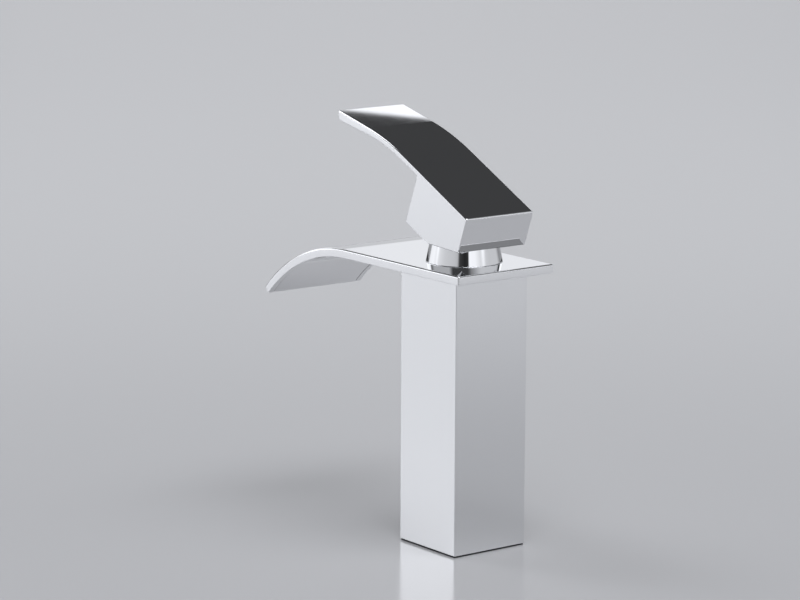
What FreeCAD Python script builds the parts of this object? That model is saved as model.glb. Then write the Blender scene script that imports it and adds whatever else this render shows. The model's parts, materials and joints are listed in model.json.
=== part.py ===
import FreeCAD, Part
import math
import os

from FreeCAD import Vector

# Waterfall basin faucet with a square column, a thin curved spout and one lever on top.
# Frame: millimetres, +Z up, origin at the centre of the column's foot on the deck,
# spout and lever towards -Y. Heights named "above_spout" count from the spout's top face.

# Column, foot and deck
column_width = 50.0
column_wall = 2.0
column_edge_radius = 0.6
spout_underside = 156.5
gasket_thickness = 1.0
gasket_inset = 0.6
foot_thickness = 12.0
deck_thickness = 18.0
deck_hole_diameter = 34.0

# Spout
spout_width = 67.0
spout_thickness = 5.0
spout_overhang = 12.5
spout_straight = 66.5
spout_curve_radius = 112.5
spout_turn = 45.0
spout_edge_radius = 0.4
spout_roof = 1.5
water_gap = 2.0
spout_rim = 3.5
plate_ledge = 1.5
channel_back = 14.0
channel_ring_wall = 1.9

# Valve body, inlets and ducts
body_height = 58.5
inlet_spacing = 14.4
inlet_line_y = -4.0
inlet_thread_radius = 4.5
inlet_thread_length = 12.0
port_radius = 2.4
outlet_port_y = 5.5
duct_offset = 18.0
duct_radius = 2.8
gallery_below_floor = 8.0
duct_seal_width = 1.3
duct_seal_height = 1.2

# Cartridge
cartridge_radius = 17.5
chamber_clearance = 0.1
base_height = 6.0
disc_thickness = 3.0
fixed_disc_radius = 15.6
moving_disc_radius = 11.5
mixing_recess_radius = 10.5
mixing_recess_front = -0.7
mixing_recess_depth = 1.5
carrier_height = 5.2
housing_wall = 1.8
shoulder_thickness = 2.0
neck_radius = 13.5
neck_wall = 2.0
neck_above_spout = 8.0
seal_ring_width = 1.5
seal_ring_height = 1.2
seal_ring_gap = 0.3
peg_radius = 2.0
peg_length = 3.0
peg_x = 12.0
peg_y = 9.0

# Cartridge nut
nut_thread_radius = 19.0
nut_land_radius = 17.8
nut_land_height = 4.5
nut_hex_width = 30.0
nut_hex_height = 3.5
spout_hole_clearance = 0.3

# Collar, pin and stem
pivot_below_spout = 5.0
stem_arm = 11.0
lift_angle = 20.0
collar_above_neck = 1.0
collar_flange_width = 2.0
collar_flange_height = 1.4
pin_radius = 1.5
pin_inset = 0.4
stem_width = 8.0
stem_depth = 6.0
stem_above_spout = 33.5
stem_blade_below_pivot = 6.0
stem_neck_radius = 1.8
ball_radius = 2.5
ball_play = 0.3
socket_floor = 1.0
o_ring_section = 0.6
o_ring_above_pivot = 5.5

# Dome cover
dome_foot_radius = 21.45
dome_slant = 11.2
dome_height = 14.0
dome_wall = 1.4
dome_opening_radius = 12.5
dome_o_ring_above_spout = 2.0

# Handle: side outline as distance behind the axis and height above the spout
handle_width = 47.0
handle_wall = 2.8
handle_back_top = (31.5, 29.6)
handle_top_bend = (-41.0, 65.4)
handle_top_bend_radius = 170.0
handle_tip_top = (-86.8, 76.6)
handle_tip_bottom = (-86.0, 71.0)
handle_tip_radius = 2.5
handle_under_bend = (-44.1, 63.0)
handle_under_bend_radius = 130.0
handle_front_top = (-12.85, 48.0)
handle_front_top_radius = 2.0
handle_front_bottom = (-23.3, 21.2)
handle_bottom_bend = (-3.5, 11.5)
handle_bottom_bend_radius = 12.0
handle_back_bottom = (24.3, 10.1)
cavity_front = 13.0
boss_half_width = 7.5
boss_back = 7.0
boss_above_spout = 21.0
socket_end_gap = 1.0
grub_screw_radius = 2.5
grub_screw_length = 9.0
grub_screw_up_front = 11.5
grub_screw_key_radius = 1.25
grub_screw_key_depth = 2.5
index_plug_radius = 3.5
index_plug_depth = 2.5

# Fixing under the deck
stud_radius = 4.0
stud_y = 12.0
stud_in_foot = 10.0
stud_free_end = 15.0
hose_way_spacing = 15.6
hose_way_radius = 6.8
washer_radius = 22.0
washer_hole_play = 0.3
rubber_washer_thickness = 3.0
steel_washer_thickness = 2.5
stud_nut_width = 13.0
stud_nut_height = 6.5

# Clearances
thread_clearance = 0.02
turning_clearance = 0.05
sliding_clearance = 0.1
collar_end_play = 0.3
cut_overrun = 2.0

# Levels and radii that follow from the sizes above
spout_top = spout_underside + spout_thickness
column_inside = column_width - 2 * column_wall
body_bottom = spout_underside - body_height
pivot_z = spout_top - pivot_below_spout
ball_z = pivot_z - stem_arm
carrier_bottom = ball_z - ball_radius - socket_floor
moving_disc_bottom = carrier_bottom - disc_thickness
fixed_disc_bottom = moving_disc_bottom - disc_thickness
chamber_floor = fixed_disc_bottom - base_height
carrier_top = carrier_bottom + carrier_height
flange_bottom = carrier_top + collar_end_play
housing_ceiling = flange_bottom + collar_flange_height + sliding_clearance
shoulder_top = housing_ceiling + shoulder_thickness
neck_top = spout_top + neck_above_spout
housing_inside_radius = cartridge_radius - housing_wall
neck_bore_radius = neck_radius - neck_wall
collar_radius = neck_bore_radius - turning_clearance
chamber_radius = cartridge_radius + chamber_clearance
spout_hole_radius = nut_thread_radius + spout_hole_clearance
channel_ring_radius = spout_hole_radius + channel_ring_wall
gallery_z = chamber_floor - gallery_below_floor
outlet_port = (0.0, outlet_port_y)
inlet_ports = [(-inlet_spacing / 2, inlet_line_y), (inlet_spacing / 2, inlet_line_y)]
ports = inlet_ports + [outlet_port]
ducts = [(-duct_offset, -duct_offset), (duct_offset, -duct_offset)]
deck_underside = -deck_thickness
steel_washer_top = deck_underside - rubber_washer_thickness
stud_nut_top = steel_washer_top - steel_washer_thickness
stud_bottom = stud_nut_top - stud_nut_height - stud_free_end


def block(x_low, x_high, y_low, y_high, z_low, z_high):
    """Box between two corners."""
    corner = Vector(x_low, y_low, z_low)
    return Part.makeBox(x_high - x_low, y_high - y_low, z_high - z_low, corner)


def square(width, z_low, z_high, edge_radius=0.0):
    """Upright square bar on the axis, its four upright edges rounded."""
    half = width / 2
    bar = block(-half, half, -half, half, z_low, z_high)
    if edge_radius > 0:
        bar = bar.makeFillet(edge_radius, upright_edges(bar))
    return bar


def upright_edges(shape):
    """The straight edges of a shape that run along Z."""
    chosen = []
    for edge in shape.Edges:
        start, end = edge.Vertexes[0].Point, edge.Vertexes[-1].Point
        if abs(start.x - end.x) < 1e-6 and abs(start.y - end.y) < 1e-6:
            chosen.append(edge)
    return chosen


def rod(radius, z_low, z_high, place=(0.0, 0.0)):
    """Upright round bar."""
    return Part.makeCylinder(radius, z_high - z_low, Vector(place[0], place[1], z_low))


def ring(outer_radius, inner_radius, z_low, z_high, place=(0.0, 0.0)):
    """Upright round ring with a square section."""
    hole = rod(inner_radius, z_low - cut_overrun, z_high + cut_overrun, place)
    return rod(outer_radius, z_low, z_high, place).cut(hole)


def hexagon(across_flats, z_low, z_high, place=(0.0, 0.0)):
    """Upright hexagonal bar with two flats facing +Y and -Y."""
    sides = 6
    corner_radius = across_flats / 2 / math.cos(math.pi / sides)
    corners = []
    for step in range(sides + 1):
        angle = 2 * math.pi * step / sides
        x = place[0] + corner_radius * math.cos(angle)
        y = place[1] + corner_radius * math.sin(angle)
        corners.append(Vector(x, y, z_low))
    return Part.Face(Part.makePolygon(corners)).extrude(Vector(0, 0, z_high - z_low))


def hose_outline(z_low, z_high):
    """Obround bar round the two hoses, which rise side by side."""
    half = hose_way_spacing / 2
    bar = block(-half, half, inlet_line_y - hose_way_radius, inlet_line_y + hose_way_radius, z_low, z_high)
    for side in (-half, half):
        bar = bar.fuse(rod(hose_way_radius, z_low, z_high, (side, inlet_line_y)))
    return bar.removeSplitter()


def side_outline(x, corners):
    """Closed wire at x through (y, z, radius) corners; each radius rounds its corner with a tangent arc."""
    edges = []
    count = len(corners)
    ends = []
    for index in range(count):
        y, z, radius = corners[index]
        here = Vector(x, y, z)
        if radius == 0:
            ends.append((here, None, here))
            continue
        before = Vector(x, *corners[index - 1][:2]) - here
        after = Vector(x, *corners[(index + 1) % count][:2]) - here
        before.normalize()
        after.normalize()
        half_angle = before.getAngle(after) / 2
        reach = radius / math.tan(half_angle)
        inward = (before + after).normalize()
        middle = here + inward * (radius / math.sin(half_angle) - radius)
        ends.append((here + before * reach, middle, here + after * reach))
    for index in range(count):
        start, middle, end = ends[index]
        if middle is not None:
            edges.append(Part.Arc(start, middle, end).toShape())
        edges.append(Part.makeLine(end, ends[(index + 1) % count][0]))
    return Part.Wire(edges)


def side_prism(corners, half_width):
    """Solid with the given side outline, running from -half_width to +half_width along X."""
    face = Part.Face(side_outline(-half_width, corners))
    return face.extrude(Vector(2 * half_width, 0, 0))


def spout_band(depth_from, depth_to, half_width, back, overrun=0.0):
    """Layer of the spout between two depths below its top face, from y = back to the lip."""
    turn = math.radians(spout_turn)
    reach = Vector(0, -math.cos(turn), -math.sin(turn)) * overrun

    def point(depth, angle):
        radius = spout_curve_radius - depth
        y = -spout_straight - radius * math.sin(angle)
        z = spout_top - spout_curve_radius + radius * math.cos(angle)
        return Vector(-half_width, y, z)

    top_back = Vector(-half_width, back, spout_top - depth_from)
    low_back = Vector(-half_width, back, spout_top - depth_to)
    top_lip, low_lip = point(depth_from, turn), point(depth_to, turn)
    edges = [
        Part.makeLine(top_back, point(depth_from, 0)),
        Part.Arc(point(depth_from, 0), point(depth_from, turn / 2), top_lip).toShape(),
    ]
    if overrun > 0:
        edges.append(Part.makeLine(top_lip, top_lip + reach))
    edges.append(Part.makeLine(top_lip + reach, low_lip + reach))
    if overrun > 0:
        edges.append(Part.makeLine(low_lip + reach, low_lip))
    edges.append(Part.Arc(low_lip, point(depth_to, turn / 2), point(depth_to, 0)).toShape())
    edges.append(Part.makeLine(point(depth_to, 0), low_back))
    edges.append(Part.makeLine(low_back, top_back))
    return Part.Face(Part.Wire(edges)).extrude(Vector(2 * half_width, 0, 0))


def column_shell():
    """Square tube from the base gasket up to the spout, its inside open for the hoses."""
    outside = square(column_width, gasket_thickness, spout_underside, column_edge_radius)
    inside = square(column_inside, gasket_thickness - cut_overrun, spout_underside + cut_overrun)
    return outside.cut(inside)


def foot_block():
    """Block brazed into the column's foot; the stud screws into it and the hoses pass through it."""
    top = gasket_thickness + foot_thickness
    foot = square(column_inside, gasket_thickness, top)
    foot = foot.cut(hose_outline(gasket_thickness - cut_overrun, top + cut_overrun))
    thread_radius = stud_radius + thread_clearance
    thread_top = gasket_thickness + stud_in_foot
    return foot.cut(rod(thread_radius, gasket_thickness - cut_overrun, thread_top, (0.0, stud_y)))


def base_gasket():
    """Rubber gasket between the column and the deck, set in a little from the column's faces."""
    sheet = square(column_width - 2 * gasket_inset, 0, gasket_thickness)
    return sheet.cut(rod(deck_hole_diameter / 2, -cut_overrun, gasket_thickness + cut_overrun))


def valve_body():
    """Brass block at the column's top: cartridge chamber, two inlets from below, two ducts to the spout."""
    top = spout_underside
    body = square(column_inside, body_bottom, top)
    body = body.cut(rod(chamber_radius, chamber_floor, top + cut_overrun))
    body = body.cut(rod(nut_thread_radius + thread_clearance, shoulder_top, top + cut_overrun))
    for place in inlet_ports:
        thread_top = body_bottom + inlet_thread_length
        body = body.cut(rod(inlet_thread_radius, body_bottom - cut_overrun, thread_top, place))
        body = body.cut(rod(port_radius, body_bottom, chamber_floor + cut_overrun, place))
    for side in (-peg_x, peg_x):
        hole_radius = peg_radius + sliding_clearance
        hole_floor = chamber_floor - peg_length - sliding_clearance
        body = body.cut(rod(hole_radius, hole_floor, chamber_floor + cut_overrun, (side, peg_y)))
    return body.cut(outlet_gallery(top))


def outlet_gallery(top):
    """Cast passage from the outlet port, under the chamber and between the inlets, to the two ducts."""
    start = Vector(0, outlet_port_y, gallery_z)
    length = outlet_port_y + duct_offset
    gallery = rod(port_radius, gallery_z, chamber_floor + cut_overrun, outlet_port)
    gallery = gallery.fuse(Part.makeCylinder(port_radius, length, start, Vector(0, -1, 0)))
    gallery = gallery.fuse(Part.makeSphere(port_radius, start))
    left = Vector(-duct_offset, -duct_offset, gallery_z)
    gallery = gallery.fuse(Part.makeCylinder(duct_radius, 2 * duct_offset, left, Vector(1, 0, 0)))
    for place in ducts:
        gallery = gallery.fuse(rod(duct_radius, gallery_z, top + cut_overrun, place))
        gallery = gallery.fuse(Part.makeSphere(duct_radius, Vector(place[0], place[1], gallery_z)))
        seat = top - duct_seal_height
        gallery = gallery.fuse(rod(duct_radius + duct_seal_width, seat, top + cut_overrun, place))
    return gallery


def duct_seals():
    """Two flat seals round the duct mouths, pressed against the spout's bottom plate."""
    outer = duct_radius + duct_seal_width
    seat = spout_underside - duct_seal_height
    return [ring(outer, duct_radius, seat, spout_underside, place) for place in ducts]


def spout_shell():
    """Top plate and spout in one, with two side rims; the water channel is open below and at the lip."""
    half = spout_width / 2
    back = column_width / 2 + spout_overhang
    slab = spout_band(0, spout_thickness, half, back)
    slab = slab.makeFillet(spout_edge_radius, upright_edges(slab))
    plate_seat = spout_roof + water_gap
    low, high = spout_underside - 2 * cut_overrun, spout_top + cut_overrun
    channel = spout_band(spout_roof, plate_seat, half - spout_rim - plate_ledge, -channel_back, cut_overrun)
    rebate_floor = spout_thickness + cut_overrun
    rebate = spout_band(plate_seat, rebate_floor, half - spout_rim, -channel_back, cut_overrun)
    channel = channel.fuse(rebate).cut(rod(channel_ring_radius, low, high))
    return slab.cut(channel).cut(rod(spout_hole_radius, low, high))


def spout_bottom_plate():
    """Curved plate that closes the water channel from below; the lip stays open as a wide slot."""
    seat = spout_roof + water_gap
    plate = spout_band(seat, spout_thickness, spout_width / 2 - spout_rim, -channel_back)
    low, high = spout_underside - cut_overrun, spout_top + cut_overrun
    plate = plate.cut(rod(channel_ring_radius, low, high))
    for place in ducts:
        plate = plate.cut(rod(duct_radius, low, high, place))
    return plate


def cartridge_base():
    """Bottom of the cartridge with three ports, seats for its seals and two locating pegs."""
    top = chamber_floor + base_height
    low, high = chamber_floor - cut_overrun, top + cut_overrun
    base = rod(cartridge_radius, chamber_floor, top)
    for side in (-peg_x, peg_x):
        base = base.fuse(rod(peg_radius, chamber_floor - peg_length, chamber_floor, (side, peg_y)))
    seat_radius = port_radius + seal_ring_gap + seal_ring_width
    for place in ports:
        base = base.cut(rod(port_radius, low, high, place))
        base = base.cut(rod(seat_radius, low, chamber_floor + seal_ring_height, place))
        base = base.cut(rod(seat_radius, top - seal_ring_height, high, place))
    return base


def port_rings(z_low):
    """Three seal rings, one round each port, standing on z_low."""
    inner = port_radius + seal_ring_gap
    return [ring(inner + seal_ring_width, inner, z_low, z_low + seal_ring_height, place) for place in ports]


def cartridge_housing():
    """Cup that holds the discs down, with a shoulder for the nut and a neck that guides the collar."""
    bottom = fixed_disc_bottom
    housing = rod(cartridge_radius, bottom, shoulder_top).fuse(rod(neck_radius, shoulder_top, neck_top))
    housing = housing.cut(rod(housing_inside_radius, bottom - cut_overrun, housing_ceiling))
    return housing.cut(rod(neck_bore_radius, housing_ceiling - cut_overrun, neck_top + cut_overrun))


def fixed_disc():
    """Lower ceramic disc with the three ports."""
    low, high = fixed_disc_bottom - cut_overrun, moving_disc_bottom + cut_overrun
    disc = rod(fixed_disc_radius, fixed_disc_bottom, moving_disc_bottom)
    for place in ports:
        disc = disc.cut(rod(port_radius, low, high, place))
    return disc


def moving_disc():
    """Upper ceramic disc; slid forward, the recess in its underside joins the inlets to the outlet."""
    disc = rod(moving_disc_radius, moving_disc_bottom, carrier_bottom)
    low, high = moving_disc_bottom - cut_overrun, moving_disc_bottom + mixing_recess_depth
    recess = rod(mixing_recess_radius, low, high)
    far = mixing_recess_radius + cut_overrun
    recess = recess.cut(block(-far, far, -far, mixing_recess_front, low - cut_overrun, high + cut_overrun))
    return disc.cut(recess)


def disc_carrier():
    """Driver on the moving disc, with the socket that the stem's ball pushes."""
    carrier = rod(moving_disc_radius, carrier_bottom, carrier_top)
    socket_bottom = carrier_bottom + socket_floor - ball_play
    return carrier.cut(rod(ball_radius + ball_play, socket_bottom, carrier_top + cut_overrun))


def stem_collar():
    """Turning collar in the cartridge neck; it carries the stem's pin and turns with the lever."""
    top = neck_top + collar_above_neck
    collar = rod(collar_radius, flange_bottom, top)
    flange_top = flange_bottom + collar_flange_height
    collar = collar.fuse(rod(collar_radius + collar_flange_width, flange_bottom, flange_top))
    slope = math.tan(math.radians(lift_angle))
    half_depth = stem_depth / 2 / math.cos(math.radians(lift_angle)) + turning_clearance
    half_gap = stem_width / 2 + turning_clearance
    upper = top - pivot_z
    lower = pivot_z - flange_bottom
    slot_front = -half_depth - slope * lower
    slot_back = half_depth + slope * upper
    low, high = flange_bottom - cut_overrun, top + cut_overrun
    collar = collar.cut(block(-half_gap, half_gap, -half_depth, slot_back, pivot_z, high))
    collar = collar.cut(block(-half_gap, half_gap, slot_front, half_depth, low, pivot_z))
    middle_gap = half_depth + slope * pin_radius
    collar = collar.cut(block(
        -half_gap, half_gap, -middle_gap, middle_gap, pivot_z - pin_radius, pivot_z + pin_radius))
    collar = collar.cut(pin_bar(pin_radius, 2 * collar_radius))
    groove_z = pivot_z + o_ring_above_pivot
    groove = ring(collar_radius + cut_overrun, collar_radius - 2 * o_ring_section,
                  groove_z - o_ring_section, groove_z + o_ring_section)
    return collar.cut(groove)


def pin_bar(radius, length):
    """Round bar along X through the pivot."""
    return Part.makeCylinder(radius, length, Vector(-length / 2, 0, pivot_z), Vector(1, 0, 0))


def collar_o_ring():
    """O-ring in the collar's groove, against the neck's bore."""
    z = pivot_z + o_ring_above_pivot
    return Part.makeTorus(collar_radius - o_ring_section, o_ring_section, Vector(0, 0, z))


def stem_pin():
    """Pin across the collar; the stem tilts on it."""
    return pin_bar(pin_radius, 2 * (collar_radius - pin_inset))


def stem():
    """Flat lever blade on the pin, with a square shank above and a ball end below."""
    half_width, half_depth = stem_width / 2, stem_depth / 2
    blade_bottom = pivot_z - stem_blade_below_pivot
    top = spout_top + stem_above_spout
    lever = block(-half_width, half_width, -half_depth, half_depth, blade_bottom, top)
    lever = lever.fuse(rod(stem_neck_radius, ball_z, blade_bottom))
    lever = lever.fuse(Part.makeSphere(ball_radius, Vector(0, 0, ball_z)))
    return lever.cut(pin_bar(pin_radius + turning_clearance, stem_width + cut_overrun))


def cartridge_nut():
    """Ring nut that presses the cartridge down; its plain land above the spout centres the dome cover."""
    land_top = spout_top + nut_land_height
    top = land_top + nut_hex_height
    nut = rod(nut_thread_radius, shoulder_top, spout_top)
    nut = nut.fuse(rod(nut_land_radius, spout_top, land_top))
    nut = nut.fuse(hexagon(nut_hex_width, land_top, top))
    return nut.cut(rod(neck_radius + sliding_clearance, shoulder_top - cut_overrun, top + cut_overrun))


def dome_radius(above_spout, wall=0.0):
    """Radius of the dome's cone at a height above the spout, less a wall measured square to its side."""
    slant = math.radians(dome_slant)
    return dome_foot_radius - above_spout * math.tan(slant) - wall / math.cos(slant)


def dome_cover():
    """Cone-shaped cover over the nut, open on top for the stem."""
    outside = Part.makeCone(dome_radius(0), dome_radius(dome_height), dome_height, Vector(0, 0, spout_top))
    inner_height = dome_height - dome_wall
    inside = Part.makeCone(
        dome_radius(-cut_overrun, dome_wall), dome_radius(inner_height, dome_wall),
        inner_height + cut_overrun, Vector(0, 0, spout_top - cut_overrun))
    dome = outside.cut(inside)
    return dome.cut(rod(dome_opening_radius, spout_top, spout_top + dome_height + cut_overrun))


def dome_o_ring():
    """O-ring between the nut's land and the dome; its grip holds the dome down."""
    above = dome_o_ring_above_spout
    section = (dome_radius(above, dome_wall) - nut_land_radius) / 2
    fitted = section - thread_clearance
    return Part.makeTorus(nut_land_radius + section, fitted, Vector(0, 0, spout_top + above))


def above_spout(point, radius=0.0):
    """Corner of the handle's outline as (y, z, radius) in the faucet's frame."""
    return (point[0], spout_top + point[1], radius)


def shifted_line(start, end, distance):
    """The line through two (y, z) points, moved to its left by a distance."""
    along_y, along_z = end[0] - start[0], end[1] - start[1]
    length = math.hypot(along_y, along_z)
    move_y, move_z = -along_z / length * distance, along_y / length * distance
    return (start[0] + move_y, start[1] + move_z), (along_y / length, along_z / length)


def at_y(line, y):
    """Height of a (point, direction) line at y."""
    point, direction = line
    return point[1] + (y - point[0]) * direction[1] / direction[0]


def crossing(first, second):
    """Point where two (point, direction) lines meet."""
    (y1, z1), (dy1, dz1) = first
    (y2, z2), (dy2, dz2) = second
    step = ((y2 - y1) * dz2 - (z2 - z1) * dy2) / (dy1 * dz2 - dz1 * dy2)
    return y1 + dy1 * step, z1 + dz1 * step


def handle_cavity():
    """Room inside the handle's block for the dome and the neck, parallel to its back and top."""
    ceiling = shifted_line(handle_top_bend, handle_back_top, -handle_wall)
    back = shifted_line(handle_back_top, handle_back_bottom, -handle_wall)
    low = handle_back_bottom[1] - cut_overrun
    back_low = (back[0][0] + (low - back[0][1]) * back[1][0] / back[1][1], low)
    corners = [
        above_spout((-cavity_front, low)),
        above_spout((-cavity_front, at_y(ceiling, -cavity_front))),
        above_spout(crossing(ceiling, back)),
        above_spout(back_low),
    ]
    return side_prism(corners, handle_width / 2 - handle_wall)


def stem_socket():
    """Room in the boss for the stem's shank."""
    half_width = stem_width / 2 + turning_clearance
    half_depth = stem_depth / 2 + turning_clearance
    top = spout_top + stem_above_spout + socket_end_gap
    return block(-half_width, half_width, -half_depth, half_depth, spout_top, top)


def grub_screw_axis():
    """Start on the block's front face and direction into the block, square to that face."""
    low, high = handle_front_bottom, handle_front_top
    rise = math.hypot(high[0] - low[0], high[1] - low[1])
    up_y, up_z = (high[0] - low[0]) / rise, (high[1] - low[1]) / rise
    start = Vector(0, low[0] + up_y * grub_screw_up_front, spout_top + low[1] + up_z * grub_screw_up_front)
    return start, Vector(0, up_z, -up_y)


def grub_screw_reach():
    """Distance along the grub screw's axis from the front face to the stem."""
    start, inward = grub_screw_axis()
    return (-stem_depth / 2 - start.y) / inward.y


def handle_lever():
    """Hollow block and lever in one, with a boss for the stem and a hole for its grub screw."""
    corners = [
        above_spout(handle_back_top),
        above_spout(handle_top_bend, handle_top_bend_radius),
        above_spout(handle_tip_top),
        above_spout(handle_tip_bottom, handle_tip_radius),
        above_spout(handle_under_bend, handle_under_bend_radius),
        above_spout(handle_front_top, handle_front_top_radius),
        above_spout(handle_front_bottom),
        above_spout(handle_bottom_bend, handle_bottom_bend_radius),
        above_spout(handle_back_bottom),
    ]
    body = side_prism(corners, handle_width / 2)
    cavity = handle_cavity()
    boss_bottom = spout_top + boss_above_spout
    boss_top = cavity.BoundBox.ZMax
    boss = block(-boss_half_width, boss_half_width, -cavity_front, boss_back, boss_bottom, boss_top)
    body = body.cut(cavity.cut(boss)).cut(stem_socket())
    start, inward = grub_screw_axis()
    outside = start - inward * cut_overrun
    reach = grub_screw_reach() + cut_overrun
    hole_radius = grub_screw_radius + thread_clearance
    body = body.cut(Part.makeCylinder(hole_radius, reach, outside, inward))
    plug_depth = index_plug_depth + cut_overrun
    return body.cut(Part.makeCylinder(index_plug_radius, plug_depth, outside, inward))


def handle_grub_screw():
    """Grub screw that clamps the stem in the handle; its cup end touches the stem, its socket faces out."""
    start, inward = grub_screw_axis()
    tip = start + inward * (grub_screw_reach() - grub_screw_radius * abs(inward.z) / inward.y)
    screw = Part.makeCylinder(grub_screw_radius, grub_screw_length, tip, inward * -1)
    key_start = tip - inward * (grub_screw_length - grub_screw_key_depth)
    key_length = grub_screw_key_depth + cut_overrun
    return screw.cut(Part.makeCylinder(grub_screw_key_radius, key_length, key_start, inward * -1))


def index_plug():
    """Small plug that covers the grub screw's hole, flush with the block's front face."""
    start, inward = grub_screw_axis()
    return Part.makeCylinder(index_plug_radius - thread_clearance, index_plug_depth, start, inward)


def mounting_stud():
    """Threaded stud from the foot block down through the deck."""
    return rod(stud_radius, stud_bottom, gasket_thickness + stud_in_foot, (0.0, stud_y))


def horseshoe(z_low, z_high):
    """Washer with a slot open to the front for the hoses and a hole for the stud."""
    washer = rod(washer_radius, z_low, z_high)
    low, high = z_low - cut_overrun, z_high + cut_overrun
    half = hose_way_spacing / 2 + hose_way_radius
    front = -washer_radius - cut_overrun
    slot = hose_outline(low, high).fuse(block(-half, half, front, inlet_line_y, low, high))
    return washer.cut(slot).cut(rod(stud_radius + washer_hole_play, low, high, (0.0, stud_y)))


def horseshoe_rubber_washer():
    """Soft washer against the deck's underside."""
    return horseshoe(steel_washer_top, deck_underside)


def horseshoe_steel_washer():
    """Stiff washer that spreads the nut's load."""
    return horseshoe(stud_nut_top, steel_washer_top)


def stud_nut():
    """Nut on the stud that clamps the faucet to the deck."""
    place = (0.0, stud_y)
    bottom = stud_nut_top - stud_nut_height
    low, high = bottom - cut_overrun, stud_nut_top + cut_overrun
    nut = hexagon(stud_nut_width, bottom, stud_nut_top, place)
    return nut.cut(rod(stud_radius + thread_clearance, low, high, place))


pieces = {
    "column_shell": column_shell(),
    "foot_block": foot_block(),
    "base_gasket": base_gasket(),
    "valve_body": valve_body(),
    "duct_seals": duct_seals(),
    "spout_shell": spout_shell(),
    "spout_bottom_plate": spout_bottom_plate(),
    "cartridge_base": cartridge_base(),
    "port_seals": port_rings(chamber_floor),
    "disc_seals": port_rings(fixed_disc_bottom - seal_ring_height),
    "fixed_disc": fixed_disc(),
    "moving_disc": moving_disc(),
    "disc_carrier": disc_carrier(),
    "cartridge_housing": cartridge_housing(),
    "stem_collar": stem_collar(),
    "collar_o_ring": collar_o_ring(),
    "stem_pin": stem_pin(),
    "stem": stem(),
    "cartridge_nut": cartridge_nut(),
    "dome_cover": dome_cover(),
    "dome_o_ring": dome_o_ring(),
    "handle_lever": handle_lever(),
    "handle_grub_screw": handle_grub_screw(),
    "index_plug": index_plug(),
    "mounting_stud": mounting_stud(),
    "horseshoe_rubber_washer": horseshoe_rubber_washer(),
    "horseshoe_steel_washer": horseshoe_steel_washer(),
    "stud_nut": stud_nut(),
}

os.makedirs("parts", exist_ok=True)
for name, piece in pieces.items():
    shape = Part.makeCompound(piece) if isinstance(piece, list) else piece
    volume = sum(solid.Volume for solid in shape.Solids)
    print(f"{name}: {len(shape.Solids)} solid(s), valid {shape.isValid()}, {volume:.1f} mm3")
    shape.exportStep(f"parts/{name}.step")
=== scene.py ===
import json
import math

import bmesh
import bpy
from mathutils import Matrix, Vector

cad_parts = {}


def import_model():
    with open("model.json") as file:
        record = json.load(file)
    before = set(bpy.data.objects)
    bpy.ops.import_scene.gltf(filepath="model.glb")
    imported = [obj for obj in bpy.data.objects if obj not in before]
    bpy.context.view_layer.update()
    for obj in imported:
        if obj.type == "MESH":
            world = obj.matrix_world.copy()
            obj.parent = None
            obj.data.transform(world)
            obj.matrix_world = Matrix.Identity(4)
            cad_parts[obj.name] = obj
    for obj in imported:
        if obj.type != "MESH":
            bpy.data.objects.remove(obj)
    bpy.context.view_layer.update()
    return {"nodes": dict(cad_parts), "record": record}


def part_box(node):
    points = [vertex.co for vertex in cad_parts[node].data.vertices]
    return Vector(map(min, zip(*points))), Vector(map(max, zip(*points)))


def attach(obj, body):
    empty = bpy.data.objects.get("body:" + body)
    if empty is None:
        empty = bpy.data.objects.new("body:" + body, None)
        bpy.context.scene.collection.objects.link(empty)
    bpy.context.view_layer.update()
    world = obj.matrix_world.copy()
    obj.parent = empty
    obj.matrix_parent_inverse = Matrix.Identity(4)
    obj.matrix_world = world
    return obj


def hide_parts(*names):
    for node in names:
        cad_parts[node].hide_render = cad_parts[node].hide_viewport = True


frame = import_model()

MM = 0.001

# Camera: where it stands round the faucet, and where the column's axis at AIM_HEIGHT falls in the picture
PICTURE_WIDTH_PX, PICTURE_HEIGHT_PX = 800, 600
FOCAL_PX = 3170.64
SENSOR_WIDTH = 36.0
CAMERA_YAW = math.radians(37.20)
CAMERA_PITCH = math.radians(10.91)
CAMERA_ROLL = math.radians(0.25)
CAMERA_DISTANCE = 1.77253
AIM_HEIGHT = 0.100
AIM_PX = (463.34, 368.89)

# Sizes that the boxes of the CAD nodes don't give, piece by piece. The column:
COLUMN_WALL = 2.0 * MM
COLUMN_EDGE = 0.6 * MM
RIM_EDGE = 0.2 * MM

# The spout and its bottom plate: the straight stretch in front of the axis, the curve's radius and its turn
SPOUT_STRAIGHT = 66.5 * MM
SPOUT_CURVE = 112.5 * MM
SPOUT_TURN = math.radians(45)
SPOUT_ROOF = 1.5 * MM
WATER_GAP = 2.0 * MM
SPOUT_RIM = 3.5 * MM
PLATE_LEDGE = 1.5 * MM
CHANNEL_BACK = -14.0 * MM
CHANNEL_RING = 21.2 * MM
SPOUT_HOLE = 19.3 * MM
SPOUT_TOP_EDGE = 1.1 * MM
SPOUT_EDGE = 0.25 * MM
SEAM = 0.25 * MM
DUCT_PLACES = ((-18.0 * MM, -18.0 * MM), (18.0 * MM, -18.0 * MM))
DUCT_RADIUS = 2.8 * MM

# The dome
DOME_SLANT = math.radians(11.2)
DOME_WALL = 1.4 * MM
DOME_OPENING = 12.5 * MM
DOME_EDGE = 0.8 * MM
DOME_FOOT_EDGE = 0.35 * MM
DOME_INNER_EDGE = 0.25 * MM

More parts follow.
